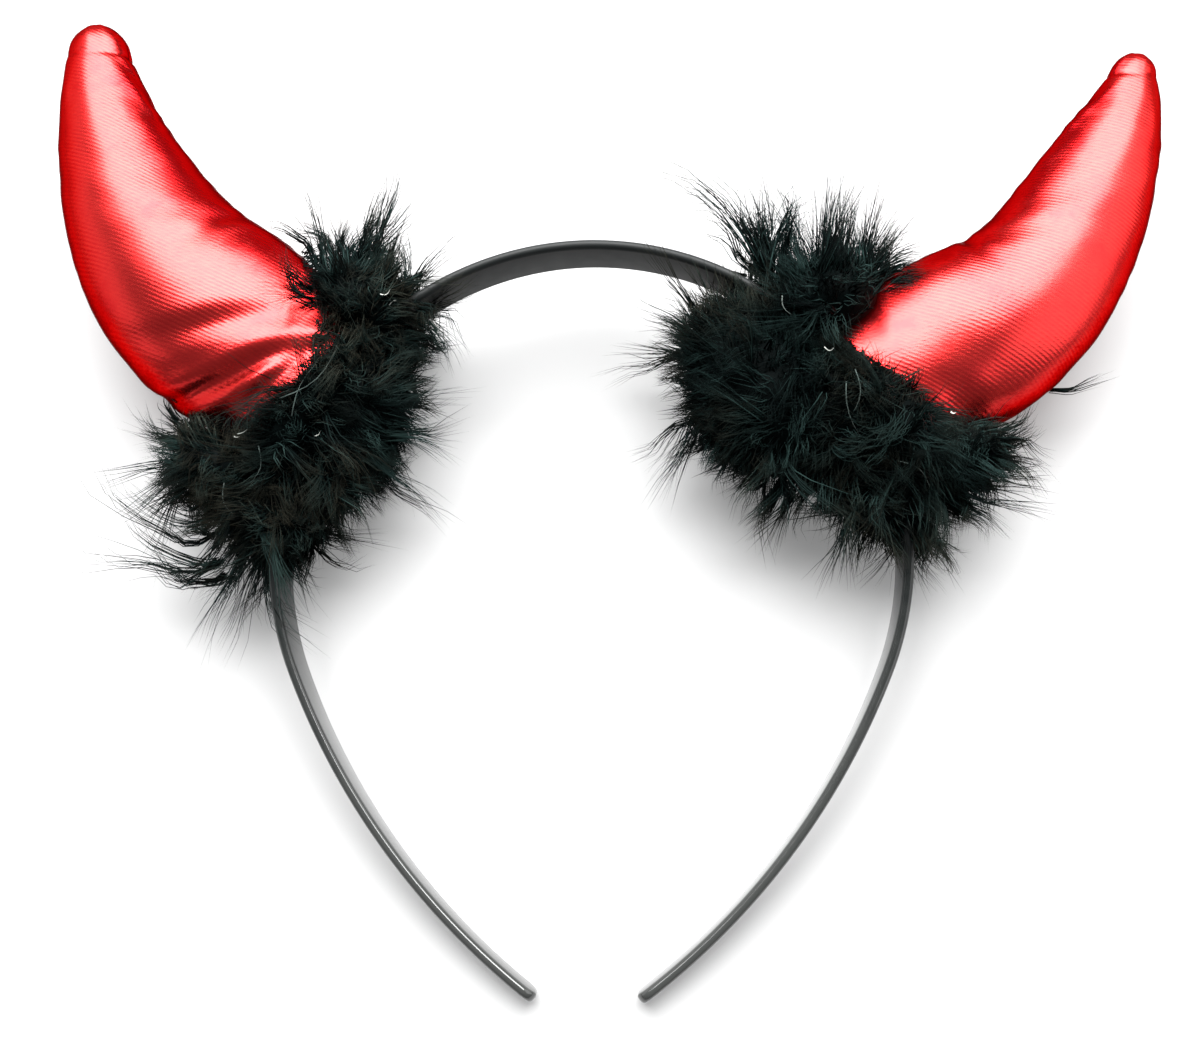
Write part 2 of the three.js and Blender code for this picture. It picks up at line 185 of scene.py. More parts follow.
def band_way(x, y):
    """How far along the band a place on its right half lies, from the middle of the crown."""
    angle = math.atan2(x, y)
    if angle <= crown_end:
        return centre_radius * angle
    leg_angle = math.atan2(x - leg_middle[0], y - leg_middle[1])
    return crown_reach + LEG_RADIUS * (leg_angle - crown_end)


def band_width(way):
    share = min(max((way - crown_reach / 2) / (band_reach - crown_reach / 2), 0), 1)
    return CROWN_WIDTH + (TIP_WIDTH - CROWN_WIDTH) * share * share * (3 - 2 * share)


def end_taper(way, rounding):
    """How much of a measure is left where the band's end is rounded off over that length."""
    past = max(way - (band_reach - rounding), 0) / rounding
    return math.sqrt(max(1 - past * past, 0))


bpy.ops.mesh.primitive_plane_add(
    size=1, location=(0, centre_radius, 0), rotation=(0, math.pi / 2, 0)
)
band = bpy.context.object
band.name = "band"
bpy.ops.object.transform_apply(location=True, rotation=True, scale=True)
for corner in band.data.vertices:
    corner.co.y = centre_radius + math.copysign(BAND_THICKNESS / 2, corner.co.y - centre_radius)
    corner.co.z = math.copysign(CROWN_WIDTH / 2, corner.co.z)
rounded_end = TIP_WIDTH / 2
bpy.ops.object.mode_set(mode="EDIT")
bpy.ops.mesh.select_all(action="SELECT")
bpy.ops.mesh.bevel(offset=EDGE_ROUNDING, segments=6, affect="VERTICES")
bpy.ops.mesh.select_all(action="SELECT")
bpy.ops.mesh.spin(steps=CROWN_STEPS, angle=crown_end, center=(0, 0, 0), axis=(0, 0, 1))
for steps, reach in ((LEG_STEPS, LEG_LENGTH - rounded_end), (END_STEPS, rounded_end)):
    bpy.ops.mesh.spin(
        steps=steps, angle=reach / LEG_RADIUS, center=(*leg_middle, 0), axis=(0, 0, 1)
    )
bpy.ops.mesh.select_all(action="DESELECT")
bpy.ops.object.mode_set(mode="OBJECT")
for face in band.data.polygons:
    face.select = abs(face.center.x) < SEAM_REACH
for corner in band.data.vertices:
    way = band_way(corner.co.x, corner.co.y)
    corner.co.z -= math.copysign((CROWN_WIDTH - band_width(way)) / 2, corner.co.z)
    if way > crown_reach:
        middle = Vector((*leg_middle, corner.co.z))
        mid_line = middle + (corner.co - middle).normalized() * LEG_RADIUS
        corner.co = mid_line.lerp(corner.co, end_taper(way, EDGE_ROUNDING))
    corner.co.z *= end_taper(way, rounded_end)
bpy.ops.object.mode_set(mode="EDIT")
bpy.ops.mesh.delete(type="ONLY_FACE")
bpy.ops.mesh.select_all(action="SELECT")
bpy.ops.mesh.remove_doubles(threshold=SEAM_REACH)
bpy.ops.object.mode_set(mode="OBJECT")
bpy.ops.object.modifier_add(type="MIRROR")
bpy.ops.object.modifier_apply(modifier="Mirror")
bpy.ops.object.mode_set(mode="EDIT")
bpy.ops.mesh.select_all(action="SELECT")
bpy.ops.mesh.normals_make_consistent(inside=False)
bpy.ops.object.mode_set(mode="OBJECT")
band.data.transform(laid)
bpy.ops.object.shade_smooth_by_angle(angle=math.radians(40))

moulded, tree, plastic = shader("moulded_plastic", BAND_BLACK, BAND_ROUGHNESS[0])
plastic.inputs["Specular IOR Level"].default_value = BAND_SHINE
place = node(tree, "ShaderNodeTexCoord").outputs["Object"]
haze = node(tree, "ShaderNodeTexNoise", Vector=place, Scale=300.0, Detail=4.0)
dulling = node(
    tree, "ShaderNodeMapRange",
    Value=haze.outputs["Fac"], To_Min=BAND_ROUGHNESS[0], To_Max=BAND_ROUGHNESS[1],
)
height = node(tree, "ShaderNodeSeparateXYZ", Vector=place).outputs["Y"]
matt_crown = node(
    tree, "ShaderNodeMapRange",
    Value=height, From_Min=DULL_FROM, From_Max=DULL_FULL, To_Max=CROWN_DULLNESS,
)
gloss = node(
    tree, "ShaderNodeMath", {"operation": "ADD"},
    _0=dulling.outputs["Result"], _1=matt_crown.outputs["Result"],
)
tree.links.new(gloss.outputs["Value"], plastic.inputs["Roughness"])
polished = node(
    tree, "ShaderNodeMapRange", Value=height, From_Min=POLISH_FROM, From_Max=POLISH_FULL
)
tree.links.new(polished.outputs["Result"], plastic.inputs["Coat Weight"])
plastic.inputs["Coat Roughness"].default_value = POLISH_ROUGHNESS
# The black turns paler grey-black lower down the legs, with a ragged edge from the haze noise.
patchy = node(
    tree, "ShaderNodeMath", {"operation": "MULTIPLY_ADD"},
    _0=haze.outputs["Fac"], _1=PALING_RAGGED, _2=height,
)
paled_low = node(
    tree, "ShaderNodeMapRange",
    Value=patchy.outputs["Value"], From_Min=PALING_FROM, From_Max=PALING_FULL,
)
band_black_paling = node(
    tree, "ShaderNodeMix", {"data_type": "RGBA"},
    _0=paled_low.outputs["Result"], _6=(*BAND_BLACK, 1), _7=(*LOWER_LEG_BLACK, 1),
)
tree.links.new(band_black_paling.outputs["Result"], plastic.inputs["Base Color"])
flow = node(tree, "ShaderNodeTexNoise", Vector=place, Scale=45.0, Detail=1.0)
ripple = node(tree, "ShaderNodeBump", Height=flow.outputs["Fac"], Strength=0.1, Distance=0.0002)
tree.links.new(ripple.outputs["Normal"], plastic.inputs["Normal"])
band.data.materials.append(moulded)
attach(band, "root")
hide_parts("headband")
bpy.ops.object.select_all(action="DESELECT")


# The horns
# Each is two panels of ribbed red metallic cloth, sewn together along the belly and along the
# crown side, turned, and stuffed hard with loose fibre. Its open foot is glued to the band.
HORN_ANGLE = 60.4
HORN_LENGTH = 0.104
HORN_WIDTH = 0.041
HORN_DEPTH = 0.031
HORN_BEND = 49
HORN_ROWS = 96
HORN_ROUND = 56
ROW_CROWDING = 1.2
SEAM_CROWDING = 0.3
FOOT_GLUED_TO = 0.03
TIP_HELD_FROM = 0.93
SEAM_ENDS = 0.85
CLOTH_EASE = 0.0003
PRESSURE = 4
CLOTH_STEPS = 20
SEAM_SHRINK = 0.03
TIP_START = 0.8
SWELL_LIMIT = 0.0006
SEAM_GROOVE = {"deep": 0.0002, "wide": 0.0006}
PUCKERS = {"deep": 0.00014, "reach": 0.0035, "pitch": 0.00105, "drift": 0.0042, "swell": 0.0063}
CAP_GROOVE = {"deep": 0.00013, "crown": 0.0002, "wide": 0.0008}
LUMPS = {"deep": 0.0001, "pitch": 0.0041, "drift": 0.009, "across": 0.0067}
HORN_OUTLINE = [
    {"along": 0.0, "wide": 0.83, "turned": 0.0},
    {"along": 0.1, "wide": 0.92, "turned": 0.0},
    {"along": 0.25, "wide": 1.0, "turned": 0.01},
    {"along": 0.34, "wide": 0.97, "turned": 0.14},
    {"along": 0.43, "wide": 0.905, "turned": 0.33},
    {"along": 0.52, "wide": 0.82, "turned": 0.46},
    {"along": 0.61, "wide": 0.725, "turned": 0.58},
    {"along": 0.69, "wide": 0.63, "turned": 0.67},
    {"along": 0.78, "wide": 0.52, "turned": 0.76},
    {"along": 0.87, "wide": 0.41, "turned": 0.86},
    {"along": 0.94, "wide": 0.325, "turned": 0.94},
    {"along": 1.0, "wide": 0.27, "turned": 1.0},
]
HORNS = {
    "left": {
        "across": -1, "length": 1.04, "width": 1.06, "bend": 1.04, "seat": -1.3, "lean": 5.5,
        "tip": 1.0, "cap": 0.0088,
        "folds": [
            {"along": 0.135, "around": -28, "size": 0.02, "wide": 58, "slant": -0.18, "deep": 0.0015},
            {"along": 0.045, "around": -4, "size": 0.016, "wide": 42, "slant": -0.09, "deep": 0.001},
            {"along": 0.2, "around": -2, "size": 0.03, "wide": 34, "slant": -0.26, "deep": 0.0008},
            {"along": 0.4, "around": 55, "size": 0.028, "wide": 22, "slant": 0.05, "deep": 0.0004},
        ],
    },
    "right": {
        "across": 1, "length": 0.957, "width": 0.96, "bend": 0.97, "seat": 1.2, "lean": 3.2,
        "tip": 0.72, "cap": 0.0062,
        "folds": [
            {"along": 0.38, "around": 62, "size": 0.02, "wide": 24, "slant": 0.08, "deep": 0.0006},
            {"along": 0.42, "around": 90, "size": 0.18, "wide": 50, "slant": 0.0, "deep": 0.0021},
            {"along": 0.08, "around": 50, "size": 0.03, "wide": 36, "slant": 0.1, "deep": 0.0004},
            {"along": 0.14, "around": -50, "size": 0.03, "wide": 40, "slant": -0.08, "deep": 0.0003},
        ],
    },
}


def outline_value(column, along):
    """A value from the outline's table, smooth between its rows."""
    places = np.array([row["along"] for row in HORN_OUTLINE])
    values = np.array([row[column] for row in HORN_OUTLINE])
    slopes = np.gradient(values, places)
    low = np.clip(np.searchsorted(places, along) - 1, 0, len(places) - 2)
    span = places[low + 1] - places[low]
    share = (along - places[low]) / span
    rise = share * share * (3 - 2 * share)
    bow = span * share * (1 - share) * ((1 - share) * slopes[low] - share * slopes[low + 1])
    return values[low] + rise * (values[low + 1] - values[low]) + bow


def seat_of(side):
    """A horn's seat on the band's outer face, the way out from the band, and the way up along it."""
    angle = math.radians(HORN_ANGLE + side["seat"])
    out = np.array([side["across"] * math.sin(angle), math.cos(angle), 0])
    up = np.array([-out[1] * side["across"], out[0] * side["across"], 0])
    return out * CROWN_RADIUS, out, up


def horn_line(side, along):
    """A horn's middle line: its points, the way to its crown side and its radii."""
    place, out, up = seat_of(side)
    length = HORN_LENGTH * side["length"]
    turn = np.radians(side["lean"] + HORN_BEND * side["bend"] * outline_value("turned", along))
    ahead = np.outer(np.cos(turn), out) + np.outer(np.sin(turn), up)
    steps = (ahead[1:] + ahead[:-1]) / 2 * np.diff(along)[:, None] * length
    points = place + np.vstack([np.zeros(3), np.cumsum(steps, axis=0)])
    crownward = np.column_stack([-ahead[:, 1], ahead[:, 0], np.zeros(len(along))]) * side["across"]
    narrowing = (1 - side["tip"]) * (np.clip(along - TIP_START, 0, 1) / (1 - TIP_START)) ** 1.5
    wide = outline_value("wide", along) * side["width"] * (1 - narrowing)
    return points, crownward, HORN_WIDTH / 2 * wide, HORN_DEPTH / 2 * wide


def mesh_piece(name, points, faces):
    """A piece made of points as worn, laid down, and left selected."""
    skin = bpy.data.meshes.new(name)
    skin.from_pydata(lay_down(points).tolist(), [], faces)
    piece = bpy.data.objects.new(name, skin)
    bpy.context.collection.objects.link(piece)
    bpy.ops.object.select_all(action="DESELECT")
    piece.select_set(True)
    bpy.context.view_layer.objects.active = piece
    return piece


def horn_skin(name, side):
    """The two panels as one closed skin of rings, close together at the seams and at the tip."""
    along = 1 - (1 - np.linspace(0, 1, HORN_ROWS)) ** ROW_CROWDING
    middle, crownward, across, depth = horn_line(side, along)
    round_it = np.linspace(0, 2 * np.pi, HORN_ROUND, endpoint=False) - np.pi
    around = round_it + SEAM_CROWDING * np.sin(2 * round_it)
    tip_radius = across[-1]
    from_tip = (1 - along) * HORN_LENGTH * side["length"]
    dome = np.sqrt(np.maximum(1 - (1 - np.minimum(from_tip / tip_radius, 1)) ** 2, 0))
    across = (across - CLOTH_EASE) * dome
    depth = (depth - CLOTH_EASE) * dome
    rings = (
        middle[:, None]
        + crownward[:, None] * (across[:, None] * np.sin(around))[..., None]
        + np.array([0, 0, 1]) * (depth[:, None] * np.cos(around))[..., None]
    )
    rings = rings[:-1]
    points = np.vstack([rings.reshape(-1, 3), middle[-1], middle[0]])
    tip, foot = len(points) - 2, len(points) - 1
    faces = []
    for row in range(len(rings) - 1):
        for i in range(HORN_ROUND):
            beside = (i + 1) % HORN_ROUND
            here, ahead = row * HORN_ROUND, (row + 1) * HORN_ROUND
            faces.append((here + i, here + beside, ahead + beside, ahead + i))
    last = (len(rings) - 1) * HORN_ROUND
    for i in range(HORN_ROUND):
        beside = (i + 1) % HORN_ROUND
        faces.append((last + i, last + beside, tip))
        faces.append((beside, i, foot))
    if side["across"] > 0:
        faces = [face[::-1] for face in faces]
    piece = mesh_piece(name, points, faces)
    for key, values, ends in (
        ("along", np.repeat(along[:-1], HORN_ROUND), (1, 0)),
        ("crown", np.tile(np.sin(around), len(rings)), (0, 0)),
        ("front", np.tile(np.cos(around), len(rings)), (1, 1)),
    ):
        layer = piece.data.attributes.new(key, "FLOAT", "POINT")
        layer.data.foreach_set("value", np.concatenate([values, ends]))
    return piece


def vertex_places(piece):
    places = np.empty(len(piece.data.vertices) * 3)
    piece.data.vertices.foreach_get("co", places)
    return places.reshape(-1, 3)


def layer_values(piece, key):
    values = np.empty(len(piece.data.vertices))
    piece.data.attributes[key].data.foreach_get("value", values)
    return values


def stuff(piece):
    """Stuffs the cloth: it swells under pressure, held at its foot and gathered at its seams."""
    before = vertex_places(piece)
    glued = piece.vertex_groups.new(name="glued")
    along = layer_values(piece, "along")
    glued.add(np.flatnonzero((along < FOOT_GLUED_TO) | (along > TIP_HELD_FROM)).tolist(), 1, "REPLACE")
    sewn = piece.vertex_groups.new(name="sewn")
    at_seam = (abs(layer_values(piece, "crown")) > 0.985) & (along < SEAM_ENDS)
    sewn.add(np.flatnonzero(at_seam).tolist(), 1, "REPLACE")
    bpy.ops.object.modifier_add(type="CLOTH")
    cloth = piece.modifiers["Cloth"].settings
    cloth.use_pressure = True
    cloth.uniform_pressure_force = PRESSURE
    cloth.vertex_group_mass = "glued"
    cloth.effector_weights.gravity = 0
    cloth.vertex_group_shrink = "sewn"
    cloth.shrink_min = 0
    cloth.shrink_max = SEAM_SHRINK
    for step in range(1, CLOTH_STEPS + 1):
        bpy.context.scene.frame_set(step)
    bpy.ops.object.modifier_apply(modifier="Cloth")
    move = vertex_places(piece) - before
    far = np.linalg.norm(move, axis=1, keepdims=True)
    off_foot = np.clip((along - FOOT_GLUED_TO) / 0.12, 0, 1)
    off_tip = np.clip((TIP_HELD_FROM - along) / 0.25, 0, 1)
    held = off_foot * off_tip
    capped = before + move * np.minimum(1, SWELL_LIMIT / np.maximum(far, 1e-9)) * held[:, None]
    piece.data.vertices.foreach_set("co", capped.ravel())


def sew_and_fold(piece, side):
    """Draws the cloth in along its seams, at the cap on its tip and in the folds at its foot."""
    along = layer_values(piece, "along")
    around = np.arctan2(layer_values(piece, "crown"), layer_values(piece, "front"))
    length = HORN_LENGTH * side["length"]
    radius = HORN_WIDTH / 2 * outline_value("wide", np.clip(along, 0, 1)) * side["width"]
    from_seam = abs(abs(around) - np.pi / 2) * radius * 0.85
    drawn = SEAM_GROOVE["deep"] * np.exp(-((from_seam / SEAM_GROOVE["wide"]) ** 2))
    way = along * length
    pucker = np.sin(way / PUCKERS["pitch"] + 2 * np.sin(way / PUCKERS["drift"]))
    pucker *= np.sin(way / PUCKERS["swell"] + np.sign(around))
    near_seam = np.exp(-from_seam / PUCKERS["reach"])
    drawn += PUCKERS["deep"] * pucker * near_seam * np.minimum(1, (1 - along) * 8)
    wavy = 0.0008 * np.sin(around) + 0.0003 * np.sin(3 * around + 1)
    from_cap = (1 - along) * length - side["cap"] - wavy
    cap_deep = CAP_GROOVE["deep"] + CAP_GROOVE["crown"] * np.maximum(np.sin(around), 0)
    drawn += cap_deep * np.exp(-((from_cap / CAP_GROOVE["wide"]) ** 2))
    lumps = np.sin(way / LUMPS["pitch"] + 2 * np.sin(2 * around + way / LUMPS["drift"]))
    drawn += LUMPS["deep"] * lumps * np.sin(5 * around + way / LUMPS["across"] + side["across"])
    degrees = np.degrees(around)
    for fold in side["folds"]:
        over = degrees - fold["around"]
        middle = fold["along"] + fold["slant"] * over / 90
        gap = (along - middle) / fold["size"]
        reach = np.exp(-((over / fold["wide"]) ** 2))
        drawn += fold["deep"] * reach * np.exp(-gap * gap)
        drawn -= 0.35 * fold["deep"] * reach * np.exp(-((abs(gap) - 1.8) ** 2))
    normals = np.empty(len(piece.data.vertices) * 3)
    piece.data.vertices.foreach_get("normal", normals)
    places = vertex_places(piece) - normals.reshape(-1, 3) * drawn[:, None]
    piece.data.vertices.foreach_set("co", places.ravel())
    piece.data.update()


RIB_PITCH = 0.0008
RIB_DEPTH = 0.000026
RIB_WANDER = 4.0
THREAD_SHARE = 1.9
FOIL_ROUGHNESS = 0.27
RIB_SLANT = math.radians(25)
RED_FOIL = (0.64, 0.036, 0.032)
# The darker red below is painted shade in the rib grooves, and also the colour of random darker
# mottling.
GROOVE_SHADE_AND_MOTTLE_RED = (0.52, 0.023, 0.025)
# The deep red below is a painted dark reflection along the horns' seam edges.
PAINTED_DARK_EDGE_RED = (0.36, 0.007, 0.009)
lame, tree, cloth_shader = shader("red_lame", RED_FOIL, FOIL_ROUGHNESS)
cloth_shader.inputs["Metallic"].default_value = 1
cloth_shader.inputs["Specular Tint"].default_value = (0.12, 0.0, 0.0, 1)
place = node(tree, "ShaderNodeTexCoord").outputs["Object"]
ribwise = (math.sin(RIB_SLANT), math.cos(RIB_SLANT), 0)
drift = node(tree, "ShaderNodeTexNoise", Vector=place, Scale=120.0, Detail=2.0)
rib_way = node(
    tree, "ShaderNodeVectorMath", {"operation": "DOT_PRODUCT"}, _0=place, _1=ribwise
)
wander = node(
    tree, "ShaderNodeMath", {"operation": "MULTIPLY"}, _0=drift.outputs["Fac"], _1=RIB_WANDER
)
phase = node(
    tree, "ShaderNodeMath", {"operation": "MULTIPLY_ADD"},
    _0=rib_way.outputs["Value"], _1=2 * math.pi / RIB_PITCH, _2=wander.outputs["Value"],
)
rib = node(tree, "ShaderNodeMath", {"operation": "SINE"}, _0=phase.outputs["Value"])
fading = node(tree, "ShaderNodeTexNoise", Vector=place, Scale=70.0, Detail=2.0)
strength = node(
    tree, "ShaderNodeMapRange",
    Value=fading.outputs["Fac"], From_Min=0.35, From_Max=0.7, To_Min=0.2, To_Max=1.0,
)
ribs = node(
    tree, "ShaderNodeMath", {"operation": "MULTIPLY"},
    _0=rib.outputs["Value"], _1=strength.outputs["Result"],
)
grain = node(
    tree, "ShaderNodeMapping", Vector=place, Rotation=(0, 0, -RIB_SLANT), Scale=(500, 2600, 1500)
)
threads = node(tree, "ShaderNodeTexNoise", Vector=grain.outputs["Vector"], Scale=1.0, Detail=2.0)
weave = node(
    tree, "ShaderNodeMath", {"operation": "MULTIPLY_ADD"},
    _0=threads.outputs["Fac"], _1=THREAD_SHARE, _2=ribs.outputs["Value"],
)
rib_bump = node(
    tree, "ShaderNodeBump", Height=weave.outputs["Value"], Strength=0.6, Distance=RIB_DEPTH
)
tree.links.new(rib_bump.outputs["Normal"], cloth_shader.inputs["Normal"])
# Painted dark reflection: a deep red is painted along the crown-side and belly seam edges of each
# horn, where the cloth turns away and would reflect the dim room.
crown_side = node(tree, "ShaderNodeAttribute", {"attribute_name": "crown"}).outputs["Fac"]
ragged = node(
    tree, "ShaderNodeMath", {"operation": "ADD"},
    _0=threads.outputs["Fac"], _1=drift.outputs["Fac"],
)
frayed = node(
    tree, "ShaderNodeMath", {"operation": "MULTIPLY_ADD"},
    _0=ragged.outputs["Value"], _1=0.5, _2=crown_side,
)
painted_dark_crown_edge = node(
    tree, "ShaderNodeMapRange", Value=frayed.outputs["Value"], From_Min=1.0, From_Max=1.35
)
painted_dark_belly_edge = node(
    tree, "ShaderNodeMapRange", Value=frayed.outputs["Value"], From_Min=-0.3, From_Max=-0.6
)
deep = node(
    tree, "ShaderNodeMath", {"operation": "MAXIMUM"},
    _0=painted_dark_crown_edge.outputs["Result"], _1=painted_dark_belly_edge.outputs["Result"],
)
# Painted shade: the rib grooves are coloured a darker red so that the ribs show inside the broad
# highlight.
painted_groove_shade = node(
    tree, "ShaderNodeMapRange", Value=weave.outputs["Value"], From_Min=1.7, From_Max=0.0
)
mottling = node(tree, "ShaderNodeTexNoise", Vector=place, Scale=95.0, Detail=4.0, Roughness=0.65)
dull_patch = node(
    tree, "ShaderNodeMapRange",
    Value=mottling.outputs["Fac"], From_Min=0.46, From_Max=0.66, To_Min=0.0, To_Max=0.8,
)
# The painted groove shade and the random darker mottling together pick the darker red.
groove_shade_and_mottling = node(
    tree, "ShaderNodeMath", {"operation": "MAXIMUM"},
    _0=painted_groove_shade.outputs["Result"], _1=dull_patch.outputs["Result"],
)
ribbed = node(
    tree, "ShaderNodeMix", {"data_type": "RGBA"},
    _0=groove_shade_and_mottling.outputs["Value"], _6=(*RED_FOIL, 1), _7=(*GROOVE_SHADE_AND_MOTTLE_RED, 1),
)
# Mixes the painted dark reflection into the cloth's colour at the seam edges.
foil = node(
    tree, "ShaderNodeMix", {"data_type": "RGBA"},
    _0=deep.outputs["Value"], _6=ribbed.outputs["Result"], _7=(*PAINTED_DARK_EDGE_RED, 1),
)
tree.links.new(foil.outputs["Result"], cloth_shader.inputs["Base Color"])

for name, side in HORNS.items():
    horn = horn_skin(f"horn_{name}_cloth", side)
    stuff(horn)
    bpy.ops.object.modifier_add(type="SUBSURF")
    horn.modifiers["Subdivision"].levels = 1
    horn.modifiers["Subdivision"].render_levels = 1
    bpy.ops.object.modifier_apply(modifier="Subdivision")
    sew_and_fold(horn, side)
    bpy.ops.object.shade_smooth()
    horn.data.materials.append(lame)
    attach(horn, "root")
    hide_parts(f"horn_{name}")
    bpy.ops.object.select_all(action="DESELECT")


# The marabou
# A cord of down feathers is wound round each horn's foot and on round the band, and glued there.
# Its barbs stand out of it in soft tufts, and a few plumes reach further than the rest.
TRIM_REACH = 0.040
HEART_VOXEL = 0.0012
UNDERCOAT = {"barbs": 5500, "short": 0.0045, "long": 0.008, "radius": 0.0002, "stations": 3}
LOCKS = {"barbs": 6800, "short": 0.0055, "long": 0.0105, "radius": 0.00012, "stations": 5}
COLLAR_BARBS = 2400
COLLAR_REACH = (0.0035, 0.007)
COLLAR_SPREAD = 1.9
COLLAR_TUCK = 0.003
TUFTS = 130
TUFT_BARBS = 26
TUFT_REACH = (0.009, 0.016)
PLUME_RADIUS = 0.00014
PLUME_STATIONS = 7
ROOT_DEPTH = 0.0005
TABLE_CLEARANCE = 0.0003
BUNDLE = 13
QUILL_REACH = 0.0008
DOWN_BLACK = (0.0005, 0.0014, 0.0014)
DOWN_PALE = (0.013, 0.026, 0.024)
DOWN_SHINE = 0.02
BROWN_TIP = (0.026, 0.024, 0.017)
LINT_GREY = (0.5, 0.5, 0.46)
